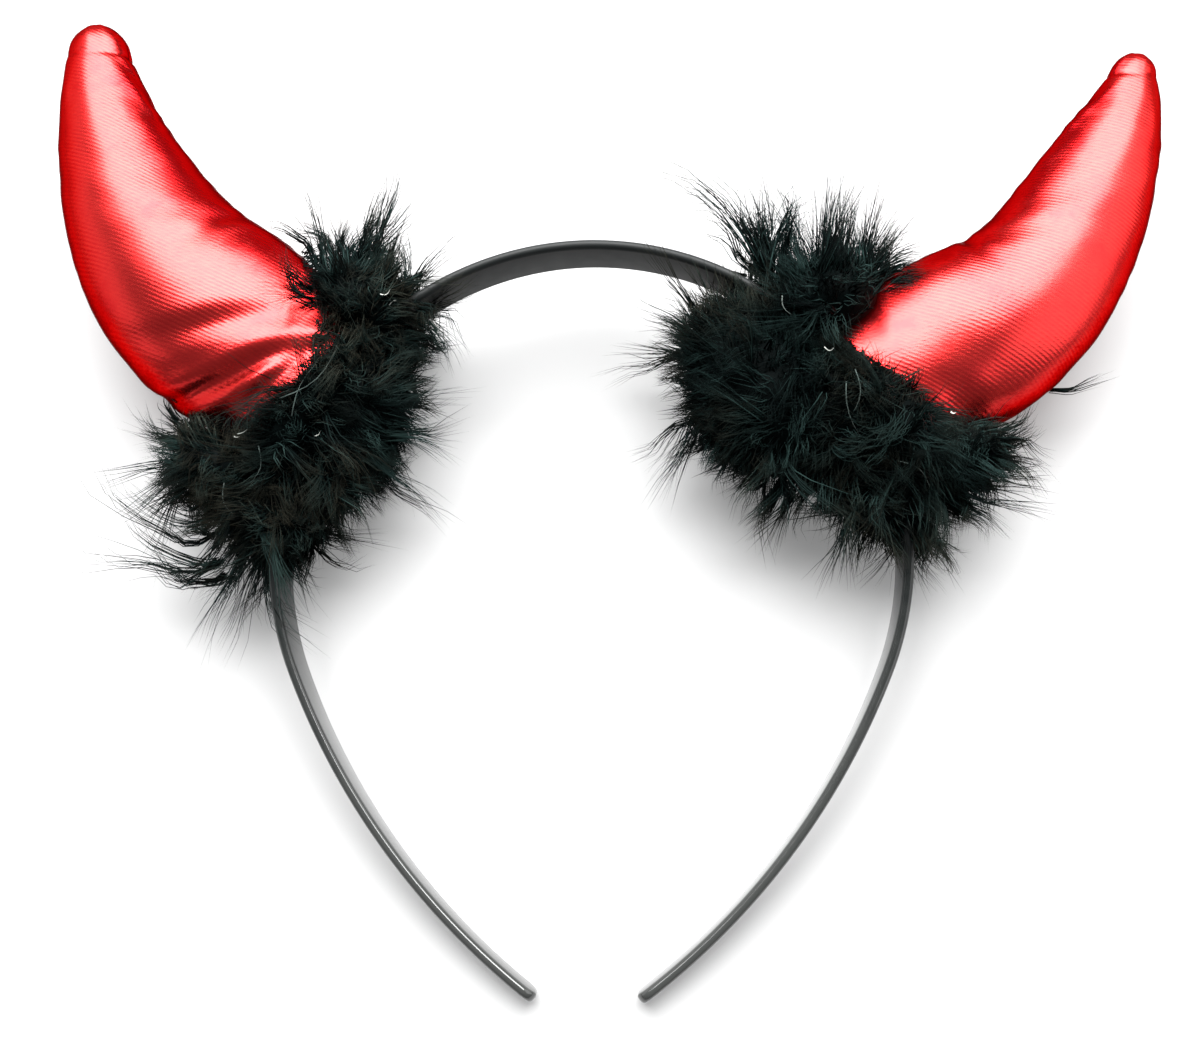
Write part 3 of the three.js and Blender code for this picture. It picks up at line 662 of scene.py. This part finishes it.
RUFFS = {
    "left": {
        "seed": 11,
        "border": (0.22, 0.08, 0.02, 0.09, 0.24),
        "fluff": [
            {"out": -0.12, "up": -0.12, "front": 0.0, "deep": 0.31, "long": 0.56, "thick": 0.27},
            {"out": 0.05, "up": 0.5, "front": -0.03, "deep": 0.25, "long": 0.2, "thick": 0.4},
            {"out": -0.12, "up": -0.66, "front": 0.0, "deep": 0.24, "long": 0.2, "thick": 0.25},
            {"out": 0.27, "up": -0.6, "front": 0.0, "deep": 0.25, "long": 0.16, "thick": 0.26},
            {"out": -0.06, "up": -0.15, "front": 0.02, "deep": 0.15, "long": 0.45, "thick": 0.43},
        ],
        "plumes": [
            {"root": (-2, 29), "tip": (-8, 47), "front": 5, "barbs": 36, "hook": -0.15},
            {"root": (0, 28), "tip": (-1, 47), "front": 3, "barbs": 48, "hook": 0.0},
            {"root": (3, 28), "tip": (4, 43), "front": 6, "barbs": 36, "hook": 0.1},
            {"root": (6, 26), "tip": (11, 41), "front": 8, "barbs": 48, "hook": 0.15},
            {"root": (8, 26), "tip": (15, 45), "front": 2, "barbs": 60, "hook": 0.1},
            {"root": (11, 24), "tip": (20, 38), "front": 4, "barbs": 60, "hook": 0.25},
            {"root": (13, 22), "tip": (25, 35), "front": 6, "barbs": 60, "hook": 0.3},
            {"root": (14, 20), "tip": (27, 29), "front": 2, "barbs": 48, "hook": 0.3},
            {"root": (-3, 24), "tip": (-10, 32), "front": 6, "barbs": 26, "hook": 0.0},
            {"root": (0, 20), "tip": (-13, 26), "front": 17, "barbs": 26, "hook": 0.2},
            {"root": (-1, 16), "tip": (-12, 18), "front": 18, "barbs": 26, "hook": -0.2},
            {"root": (18, 18), "tip": (32, 18), "front": 8, "barbs": 26, "hook": -0.25},
            {"root": (18, 15), "tip": (30, 12), "front": 10, "barbs": 36, "hook": 0.35},
            {"root": (18, 11), "tip": (28, 4), "front": 4, "barbs": 36, "hook": 0.4},
            {"root": (15, 1), "tip": (24, -7), "front": 5, "barbs": 36, "hook": 0.4},
            {"root": (12, -5), "tip": (20, -9), "front": 2, "barbs": 26, "hook": 0.3},
            {"root": (9, -11), "tip": (18, -16), "front": 4, "barbs": 36, "hook": 0.3},
            {"root": (3, -20), "tip": (12, -24), "front": 3, "barbs": 36, "hook": 0.3},
            {"root": (-1, -25), "tip": (2, -35), "front": 5, "barbs": 36, "hook": -0.2},
            {"root": (-8, -29), "tip": (-2, -46), "front": 3, "barbs": 26, "hook": 0.1},
            {"root": (-10, -30), "tip": (-8, -51), "front": 4, "barbs": 20, "hook": -0.25},
            {"root": (-13, -30), "tip": (-16, -49), "front": 4, "barbs": 26, "hook": 0.3},
            {"root": (-14, -30), "tip": (-19, -50), "front": 1, "barbs": 48, "hook": -0.1},
            {"root": (-16, -29), "tip": (-22, -42), "front": 3, "barbs": 48, "hook": 0.25},
            {"root": (-20, -27), "tip": (-29, -35), "front": 4, "barbs": 48, "hook": 0.3},
            {"root": (-20, -34), "tip": (-46, -35), "front": 2, "barbs": 30, "hook": 0.55},
            {"root": (-22, -30), "tip": (-43, -31), "front": 4, "barbs": 26, "hook": 0.6},
            {"root": (-18, -37), "tip": (-38, -42), "front": 1, "barbs": 24, "hook": 0.5},
            {"root": (-25, -24), "tip": (-38, -28), "front": 3, "barbs": 26, "hook": 0.6},
            {"root": (-28, -18), "tip": (-34, -20), "front": 4, "barbs": 26, "hook": 0.5},
            {"root": (-29, -11), "tip": (-35, -13), "front": 2, "barbs": 26, "hook": 0.5},
            {"root": (-29, -6), "tip": (-35, -4), "front": 3, "barbs": 26, "hook": -0.4},
            {"root": (-30, -4), "tip": (-35, 1), "front": 2, "barbs": 36, "hook": 0.2},
        ],
        "quills": [
            {"root": (-2, -6), "tip": (9, 5), "bow": 0.15, "thick": 0.13, "pale": 1.1},
            {"root": (1, -10), "tip": (6, 1), "bow": -0.1, "thick": 0.12, "pale": 1.1},
            {"root": (8, -8), "tip": (10, -3), "bow": 0.1, "thick": 0.12, "pale": 1.12},
            {"root": (-17, -20), "tip": (-14, -27), "bow": 0.2, "thick": 0.13, "pale": 1.16},
            {"root": (-8, -14), "tip": (-10, -22), "bow": -0.2, "thick": 0.12, "pale": 1.1},
            {"root": (15, 17), "tip": (17, 18), "bow": 0.3, "thick": 0.15, "pale": 2.2},
            {"root": (16, 16), "tip": (18, 17), "bow": -0.2, "thick": 0.12, "pale": 1.7},
            {"root": (-13, -12), "tip": (-12, -12), "bow": 0.2, "thick": 0.15, "pale": 1.8},
            {"root": (-10, -13), "tip": (-8, -12), "bow": 0.1, "thick": 0.12, "pale": 1.5},
            {"root": (3, -12), "tip": (4, -11), "bow": 0.2, "thick": 0.15, "pale": 1.8},
        ],
    },
    "right": {
        "seed": 23,
        "border": (0.2, 0.11, 0.06, 0.03, 0.2),
        "fluff": [
            {"out": -0.46, "up": 0.28, "front": 0.04, "deep": 0.33, "long": 0.42, "thick": 0.31},
            {"out": -0.45, "up": 0.6, "front": 0.0, "deep": 0.24, "long": 0.2, "thick": 0.26},
            {"out": 0.1, "up": 0.5, "front": -0.03, "deep": 0.25, "long": 0.21, "thick": 0.4},
            {"out": -0.16, "up": 0.0, "front": 0.0, "deep": 0.36, "long": 0.45, "thick": 0.27},
            {"out": -0.15, "up": -0.44, "front": 0.0, "deep": 0.21, "long": 0.27, "thick": 0.24},
            {"out": -0.05, "up": 0.64, "front": 0.0, "deep": 0.2, "long": 0.14, "thick": 0.25},
            {"out": 0.26, "up": -0.48, "front": 0.0, "deep": 0.24, "long": 0.16, "thick": 0.24},
            {"out": 0.0, "up": -0.2, "front": 0.02, "deep": 0.22, "long": 0.42, "thick": 0.43},
        ],
        "plumes": [
            {"root": (-20, 26), "tip": (-26, 52), "front": 8, "barbs": 84, "hook": -0.1},
            {"root": (-19, 26), "tip": (-21, 51), "front": 4, "barbs": 84, "hook": 0.1},
            {"root": (-20, 27), "tip": (-28, 43), "front": 6, "barbs": 60, "hook": 0.15},
            {"root": (-21, 25), "tip": (-32, 31), "front": 4, "barbs": 36, "hook": 0.4},
            {"root": (-16, 26), "tip": (-15, 39), "front": 3, "barbs": 40, "hook": 0.1},
            {"root": (-11, 23), "tip": (-12, 41), "front": 5, "barbs": 40, "hook": -0.1},
            {"root": (-8, 22), "tip": (-9, 40), "front": 6, "barbs": 84, "hook": 0.0},
            {"root": (-6, 22), "tip": (-3, 41), "front": 3, "barbs": 96, "hook": 0.1},
            {"root": (-3, 22), "tip": (3, 39), "front": 7, "barbs": 96, "hook": 0.1},
            {"root": (0, 23), "tip": (7, 35), "front": 4, "barbs": 84, "hook": 0.15},
            {"root": (2, 23), "tip": (10, 31), "front": 7, "barbs": 72, "hook": 0.2},
            {"root": (3, 21), "tip": (11, 28), "front": 9, "barbs": 60, "hook": 0.2},
            {"root": (-30, 14), "tip": (-40, 17), "front": 4, "barbs": 36, "hook": 0.2},
            {"root": (-32, 9), "tip": (-41, 7), "front": 3, "barbs": 36, "hook": -0.2},
            {"root": (-31, 3), "tip": (-39, 1), "front": 5, "barbs": 36, "hook": 0.1},
            {"root": (-29, -2), "tip": (-35, -6), "front": 3, "barbs": 36, "hook": 0.3},
            {"root": (-26, -9), "tip": (-32, -14), "front": 4, "barbs": 36, "hook": -0.2},
            {"root": (-21, -14), "tip": (-28, -19), "front": 3, "barbs": 36, "hook": 0.3},
            {"root": (-18, -17), "tip": (-24, -27), "front": 4, "barbs": 60, "hook": 0.2},
            {"root": (-15, -18), "tip": (-21, -30), "front": 2, "barbs": 60, "hook": 0.2},
            {"root": (-10, -19), "tip": (-12, -28), "front": 4, "barbs": 40, "hook": -0.2},
            {"root": (3, -19), "tip": (1, -31), "front": 5, "barbs": 60, "hook": 0.1},
            {"root": (5, -24), "tip": (5, -37), "front": 6, "barbs": 60, "hook": 0.0},
            {"root": (9, -26), "tip": (11, -38), "front": 4, "barbs": 60, "hook": 0.1},
            {"root": (11, -24), "tip": (13, -40), "front": 2, "barbs": 36, "hook": 0.0},
            {"root": (13, -21), "tip": (21, -31), "front": 4, "barbs": 48, "hook": 0.2},
            {"root": (16, -19), "tip": (23, -27), "front": 5, "barbs": 48, "hook": 0.2},
            {"root": (20, -17), "tip": (28, -24), "front": 3, "barbs": 48, "hook": 0.25},
            {"root": (22, -14), "tip": (32, -21), "front": 4, "barbs": 48, "hook": 0.25},
            {"root": (23, -11), "tip": (34, -14), "front": 2, "barbs": 36, "hook": 0.2},
            {"root": (24, -8), "tip": (33, -7), "front": 3, "barbs": 36, "hook": -0.2},
            {"root": (37, 2), "tip": (51, 8), "front": -8, "barbs": 14, "hook": -0.3},
        ],
        "quills": [
            {"root": (-6, 0), "tip": (-3, -12), "bow": 0.1, "thick": 0.13, "pale": 1.1},
            {"root": (-5, 1), "tip": (-6, -8), "bow": -0.15, "thick": 0.12, "pale": 1.1},
            {"root": (-18, 17), "tip": (-16, 13), "bow": 0.2, "thick": 0.14, "pale": 1.2},
            {"root": (-25, 0), "tip": (-17, -6), "bow": 0.2, "thick": 0.12, "pale": 1.1},
            {"root": (3, -16), "tip": (9, -22), "bow": -0.2, "thick": 0.13, "pale": 1.12},
            {"root": (-10, 7), "tip": (-8, 7), "bow": 0.4, "thick": 0.15, "pale": 1.8},
            {"root": (12, -8), "tip": (13, -8), "bow": 0.3, "thick": 0.22, "pale": 2.6},
        ],
    },
}


def unit(vectors):
    return vectors / np.maximum(np.linalg.norm(vectors, axis=-1, keepdims=True), 1e-12)


def border_on(ruff, sideways):
    """How far up a horn the fluff reaches on its front, from its belly over to its crown side."""
    return np.interp(sideways, (-1, -0.7, 0, 0.7, 1), ruff["border"])


def bare_of_fluff(lines, side, ruff, chance):
    """Which barbs stay: those in a horn go, and nearly all that would cover its front."""
    along = np.linspace(0, 1, 60)
    middle, crownward, across, depth = horn_line(side, along)
    flat = lines.reshape(-1, 3)
    gap = flat[:, None, :2] - middle[None, :, :2]
    nearest = np.argmin((gap**2).sum(-1), axis=1)
    sideways = ((flat - middle[nearest]) * crownward[nearest]).sum(-1) / across[nearest]
    frontways = flat[:, 2] / depth[nearest]
    past_foot = along[nearest] > border_on(ruff, sideways)
    inside = past_foot & (sideways**2 + frontways**2 < 1)
    in_front = past_foot & (abs(sideways) < 0.97) & (frontways > 0)
    inside = inside.reshape(lines.shape[:2]).any(axis=1)
    in_front = in_front.reshape(lines.shape[:2]).any(axis=1)
    return ~inside & (~in_front | (chance.random(len(lines)) < 0.05))


def off_the_table(points):
    """Presses what would go through the table flat on it."""
    placed = lay_down(points.reshape(-1, 3))
    sunk = np.maximum(-placed[:, 2], 0)
    placed[:, 2] = np.maximum(placed[:, 2], TABLE_CLEARANCE + 0.02 * sunk)
    return stand_up(placed).reshape(points.shape)


def barb_mesh(name, lines, radii, pale):
    """One joined mesh of closed, three-sided barbs. lines has one row of points for each barb."""
    count, stations = lines.shape[:2]
    tangents = unit(np.gradient(lines, axis=1))
    aside = unit(np.cross(tangents, np.array([0.31, 0.54, 0.78])))
    steep = np.cross(tangents, aside)
    taper = 1 - np.linspace(0, 1, stations) ** 1.5
    thick = (radii[:, None] * taper)[..., None]
    sides = []
    for turn in range(3):
        angle = turn * 2 * math.pi / 3
        sides.append(lines + thick * (aside * math.cos(angle) + steep * math.sin(angle)))
    rings = np.stack(sides, axis=2)[:, :-1]
    per_barb = 3 * (stations - 1) + 1
    points = np.concatenate([rings.reshape(count, -1, 3), lines[:, -1:]], axis=1)
    one = []
    for row in range(stations - 2):
        for i in range(3):
            beside = (i + 1) % 3
            one.append((3 * row + i, 3 * row + beside, 3 * row + 3 + beside, 3 * row + 3 + i))
    last = 3 * (stations - 2)
    ends = [(last + i, last + (i + 1) % 3, per_barb - 1) for i in range(3)] + [(2, 1, 0)]
    shift = (np.arange(count) * per_barb)[:, None, None]
    quads = (np.array(one)[None] + shift).reshape(-1, 4).tolist()
    triangles = (np.array(ends)[None] + shift).reshape(-1, 3).tolist()
    piece = mesh_piece(name, points.reshape(-1, 3), quads + triangles)
    along = np.concatenate([np.repeat(np.linspace(0, 1, stations)[:-1], 3), [1]])
    layer = piece.data.attributes.new("along", "FLOAT", "POINT")
    layer.data.foreach_set("value", np.tile(along, count))
    layer = piece.data.attributes.new("pale", "FLOAT", "POINT")
    layer.data.foreach_set("value", np.repeat(pale, per_barb))
    return piece


def waves(chance, count, stations, height):
    """Small slow waves for barbs, which start at nothing at their roots."""
    share = np.linspace(0, 1, stations)[None, :, None]
    first, second = unit(chance.normal(size=(2, count, 1, 3)))
    turns = chance.uniform(3, 7, (count, 1, 1))
    return height * share * (first * np.sin(turns * share) + second * np.sin(1.7 * turns * share))


def lock_lines(chance, roots, headings, short, long, stations, per_lock, gathered):
    """Barbs that lean together, so that each lock of them ends near one tip."""
    leaders = chance.integers(0, len(roots), len(roots) // per_lock)
    lock = np.argmin(((roots[:, None] - roots[leaders][None]) ** 2).sum(-1), axis=1)
    share = np.linspace(0, 1, stations)[None, :, None]
    length = chance.uniform(short, long, (len(leaders), 1))
    bend = unit(chance.normal(size=(len(leaders), 3))) * 0.45
    tips = roots[leaders] + (unit(headings[leaders]) + bend) * length
    own = length[lock] * chance.uniform(0.55, 1.15, (len(roots), 1))
    way = unit(headings + chance.normal(size=roots.shape) * 0.3)
    ends = roots + (way + bend[lock]) * own
    free = roots[:, None] + own[:, None] * (way[:, None] * share + bend[lock][:, None] * share**2)
    drawn = (tips[lock] - ends)[:, None] * gathered * share**1.5
    return free + drawn + waves(chance, len(roots), stations, 0.06 * long), lock


def plume_lines(chance, root, tip, barbs, stations, fan, curling, hook):
    """One plume: bundles of barbs that leave its root together. A hook turns its tips clockwise."""
    reach = np.linalg.norm(tip - root)
    bundles = max(barbs // BUNDLE, 1)
    bundle = np.arange(barbs) % bundles
    share = np.linspace(0, 1, stations)[None, :, None]
    clockwise = unit(np.cross(tip - root, np.array([0, 0, 1.0])))
    curl = unit(chance.normal(size=(1, 3)) + chance.normal(size=(bundles, 3)) * 0.6) * curling
    curl = curl + clockwise * hook * 1.6
    way = unit(unit(tip - root) - clockwise * hook + chance.normal(size=(bundles, 3)) * fan)
    length = reach * chance.uniform(0.75, 1.2, (bundles, 1))
    start = root + chance.normal(size=(bundles, 3)) * 0.0014
    own_way = way[bundle] + chance.normal(size=(barbs, 3)) * 0.05
    own_start = start[bundle] + chance.normal(size=(barbs, 3)) * 0.0004
    own_length = length[bundle] * chance.uniform(0.75, 1.0, (barbs, 1))
    own_curl = curl[bundle] + chance.normal(size=(barbs, 3)) * 0.2 * curling
    bow = own_way[:, None] * share + own_curl[:, None] * share**2.2
    lines = own_start[:, None] + own_length[:, None] * bow
    return lines + waves(chance, bundles, stations, 0.09 * reach)[bundle]


def collar_lines(chance, side, ruff, barbs, stations):
    """Short barbs out of the cord that lies round the horn's foot, over its edge."""
    middle, crownward, across, depth = horn_line(side, np.linspace(0, 0.1, 3))
    ahead = unit(middle[1] - middle[0])
    around = chance.uniform(-COLLAR_SPREAD, COLLAR_SPREAD, (barbs, 1))
    front = np.array([0, 0, 1])
    outward = crownward[0] * np.sin(around) + front * np.cos(around)
    ring = crownward[0] * np.sin(around) * across[0] + front * np.cos(around) * depth[0]
    cover = border_on(ruff, np.sin(around)) * HORN_LENGTH * side["length"] - COLLAR_REACH[0] / 2
    up_the_horn = -COLLAR_TUCK + (cover + COLLAR_TUCK) * chance.random((barbs, 1))
    widening = 0.98 + 1.1 * np.maximum(up_the_horn, 0) / HORN_LENGTH
    roots = middle[0] + ring * widening + ahead * up_the_horn
    headings = unit(outward * 0.7 - ahead * 0.6 + chance.normal(size=(barbs, 3)) * 0.3)
    return lock_lines(
        chance, roots, headings, *COLLAR_REACH, stations, per_lock=12, gathered=0.6
    )


def quill_lines(quill, seat, fluff_points, stations):
    """A bare quill or a fleck of lint that lies on the front of the fluff."""
    share = np.linspace(0, 1, stations)[:, None]
    root, tip = (seat[:2] + np.array(quill[end]) / 1000 for end in ("root", "tip"))
    way = tip - root
    flat = root + way * share + quill["bow"] * np.array([way[1], -way[0]]) * np.sin(np.pi * share)
    near = ((fluff_points[:, None, :2] - flat[None]) ** 2).sum(-1) < QUILL_REACH**2
    heights = np.where(near, fluff_points[:, 2:], seat[2]).max(axis=0)
    return np.column_stack([flat, np.full(stations, heights.mean() + QUILL_REACH / 2)])


def comb(chance, places, normals, seat, patches, upright, tidiness, mess):
    """Which way barbs lie: out of the fluff, away from the horn's seat, and together in tufts."""
    centres = places[chance.integers(0, len(places), patches)]
    sweep = unit(chance.normal(size=(patches, 3)))
    nearest = np.argmin(((places[:, None] - centres[None]) ** 2).sum(-1), axis=1)
    along = sweep[nearest] - (sweep[nearest] * normals).sum(-1, keepdims=True) * normals
    away = unit(places - seat)
    away = away - (away * normals).sum(-1, keepdims=True) * normals
    stray = chance.normal(size=places.shape) * mess
    return unit(normals * upright + tidiness * along + 0.6 * away + stray)


def spots_on(chance, piece, count):
    """Places spread over a piece by area, as worn, with the normals there."""
    corners = vertex_places(piece)
    piece.data.calc_loop_triangles()
    triangles = np.array([t.vertices for t in piece.data.loop_triangles])
    a, b, c = (corners[triangles[:, i]] for i in range(3))
    cross = np.cross(b - a, c - a)
    area = np.linalg.norm(cross, axis=1)
    spread = (np.arange(count) + chance.random(count)) / count
    picked = np.searchsorted(np.cumsum(area) / area.sum(), spread)
    picked = np.minimum(picked, len(triangles) - 1)
    u, v = chance.random((2, count, 1))
    u, v = np.where(u + v > 1, 1 - u, u), np.where(u + v > 1, 1 - v, v)
    spots = a[picked] + (b - a)[picked] * u + (c - a)[picked] * v
    return stand_up(spots), unit(cross[picked]) @ turned


down, tree, barb_shader = shader("marabou_down", DOWN_BLACK, 0.6)
barb_shader.inputs["Specular IOR Level"].default_value = DOWN_SHINE
pale = node(tree, "ShaderNodeAttribute", {"attribute_name": "pale"}).outputs["Fac"]
along = node(tree, "ShaderNodeAttribute", {"attribute_name": "along"}).outputs["Fac"]
body = node(
    tree, "ShaderNodeMix", {"data_type": "RGBA"},
    _0=pale, _6=(*DOWN_BLACK, 1), _7=(*DOWN_PALE, 1),
)
near_tip = node(tree, "ShaderNodeMath", {"operation": "POWER"}, _0=along, _1=3.0)
place = node(tree, "ShaderNodeTexCoord").outputs["Object"]
faded = node(tree, "ShaderNodeTexNoise", Vector=place, Scale=35.0, Detail=2.0)
browned = node(tree, "ShaderNodeMapRange", Value=faded.outputs["Fac"], From_Min=0.4, From_Max=0.65)
towards_tip = node(
    tree, "ShaderNodeMath", {"operation": "MULTIPLY"},
    _0=near_tip.outputs["Value"], _1=browned.outputs["Result"],
)
barb_colour = node(
    tree, "ShaderNodeMix", {"data_type": "RGBA"},
    _0=towards_tip.outputs["Value"], _6=body.outputs["Result"], _7=(*BROWN_TIP, 1),
)
bare_quill = node(tree, "ShaderNodeMapRange", Value=pale, From_Min=1.0, From_Max=3.0)
whole = node(
    tree, "ShaderNodeMix", {"data_type": "RGBA"},
    _0=bare_quill.outputs["Result"], _6=barb_colour.outputs["Result"], _7=(*LINT_GREY, 1),
)
tree.links.new(whole.outputs["Result"], barb_shader.inputs["Base Color"])


def finish_fluff(piece):
    piece.data.materials.append(down)
    bpy.ops.object.shade_smooth()
    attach(piece, "root")


for name, ruff in RUFFS.items():
    side = HORNS[name]
    seat, out, up = seat_of(side)
    axes = np.array([out, up, [0, 0, 1]])
    chance = np.random.default_rng(ruff["seed"])

    bpy.ops.object.select_all(action="DESELECT")
    masses = []
    for fluff in ruff["fluff"]:
        bpy.ops.mesh.primitive_ico_sphere_add(subdivisions=4)
        mass = bpy.context.object
        radii = np.array([fluff["deep"], fluff["long"], fluff["thick"]]) * TRIM_REACH
        centre = np.array([fluff["out"], fluff["up"], fluff["front"]]) * TRIM_REACH
        places = seat + (centre + vertex_places(mass) * radii) @ axes
        mass.data.vertices.foreach_set("co", lay_down(places).ravel())
        masses.append(mass)
    for mass in masses:
        mass.select_set(True)
    bpy.ops.object.join()
    heart = bpy.context.object
    heart.name = f"marabou_{name}_down"
    bpy.ops.object.modifier_add(type="REMESH")
    heart.modifiers["Remesh"].mode = "VOXEL"
    heart.modifiers["Remesh"].voxel_size = HEART_VOXEL
    bpy.ops.object.modifier_apply(modifier="Remesh")
    bpy.ops.object.modifier_add(type="SMOOTH")
    heart.modifiers["Smooth"].iterations = 12
    bpy.ops.object.modifier_apply(modifier="Smooth")
    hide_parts(f"marabou_{name}")
    finish_fluff(heart)

    for part, coat, gathered, upright in (
        ("undercoat", UNDERCOAT, 0.3, 0.9), ("locks", LOCKS, 0.8, 0.65)
    ):
        spots, normals = spots_on(chance, heart, coat["barbs"])
        headings = comb(
            chance, spots, normals, seat, patches=70, upright=upright, tidiness=0.55, mess=0.2
        )
        lines, lock = lock_lines(
            chance, spots - normals * ROOT_DEPTH, headings, coat["short"], coat["long"],
            coat["stations"], per_lock=14, gathered=gathered,
        )
        stays = bare_of_fluff(lines, side, ruff, chance)
        radii = coat["radius"] * chance.uniform(0.6, 1.3, len(lines))
        pale = (chance.random(len(lines)) ** 2.5)[lock]
        lines = off_the_table(lines[stays])
        finish_fluff(barb_mesh(f"marabou_{name}_{part}", lines, radii[stays], pale[stays]))

    spots, normals = spots_on(chance, heart, TUFTS)
    headings = comb(
        chance, spots, normals, seat, patches=25, upright=0.7, tidiness=0.6, mess=0.3
    )
    reaches = chance.uniform(*TUFT_REACH, (TUFTS, 1))
    tufts = [
        plume_lines(
            chance, root, tip, TUFT_BARBS, stations=6, fan=0.25, curling=0.7, hook=0
        )
        for root, tip in zip(spots - normals * 2 * ROOT_DEPTH, spots + headings * reaches)
    ]
    lines = np.concatenate(tufts)
    pale = np.repeat(0.7 * chance.random(TUFTS) ** 2, TUFT_BARBS)
    pale = np.minimum(pale + chance.random(len(lines)) ** 12, 1)
    collar, lock = collar_lines(chance, side, ruff, COLLAR_BARBS, stations=6)
    lines = np.concatenate([lines, collar])
    pale = np.concatenate([pale, (chance.random(COLLAR_BARBS) ** 4)[lock]])
    stays = bare_of_fluff(lines, side, ruff, chance)
    radii = PLUME_RADIUS * chance.uniform(0.6, 1.3, len(lines))
    lines = off_the_table(lines[stays])
    finish_fluff(barb_mesh(f"marabou_{name}_tufts", lines, radii[stays], pale[stays]))
    fluff_points = lines.reshape(-1, 3)

    plumes = []
    for plume in ruff["plumes"]:
        root = seat + np.array([*plume["root"], plume["front"] / 2]) / 1000
        tip = seat + np.array([*plume["tip"], plume["front"]]) / 1000
        plumes.append(plume_lines(
            chance, root, tip, plume["barbs"],
            stations=PLUME_STATIONS, fan=0.2, curling=0.4, hook=plume["hook"],
        ))
    lines = off_the_table(np.concatenate(plumes))
    radii = PLUME_RADIUS * chance.uniform(0.6, 1.3, len(lines))
    pale = chance.random(len(lines)) ** 3
    quills = [
        quill_lines(quill, seat, fluff_points, PLUME_STATIONS) for quill in ruff["quills"]
    ]
    lines = np.concatenate([lines, quills])
    radii = np.concatenate([radii, [quill["thick"] / 1000 for quill in ruff["quills"]]])
    pale = np.concatenate([pale, [quill["pale"] for quill in ruff["quills"]]])
    finish_fluff(barb_mesh(f"marabou_{name}_plumes", lines, radii, pale))
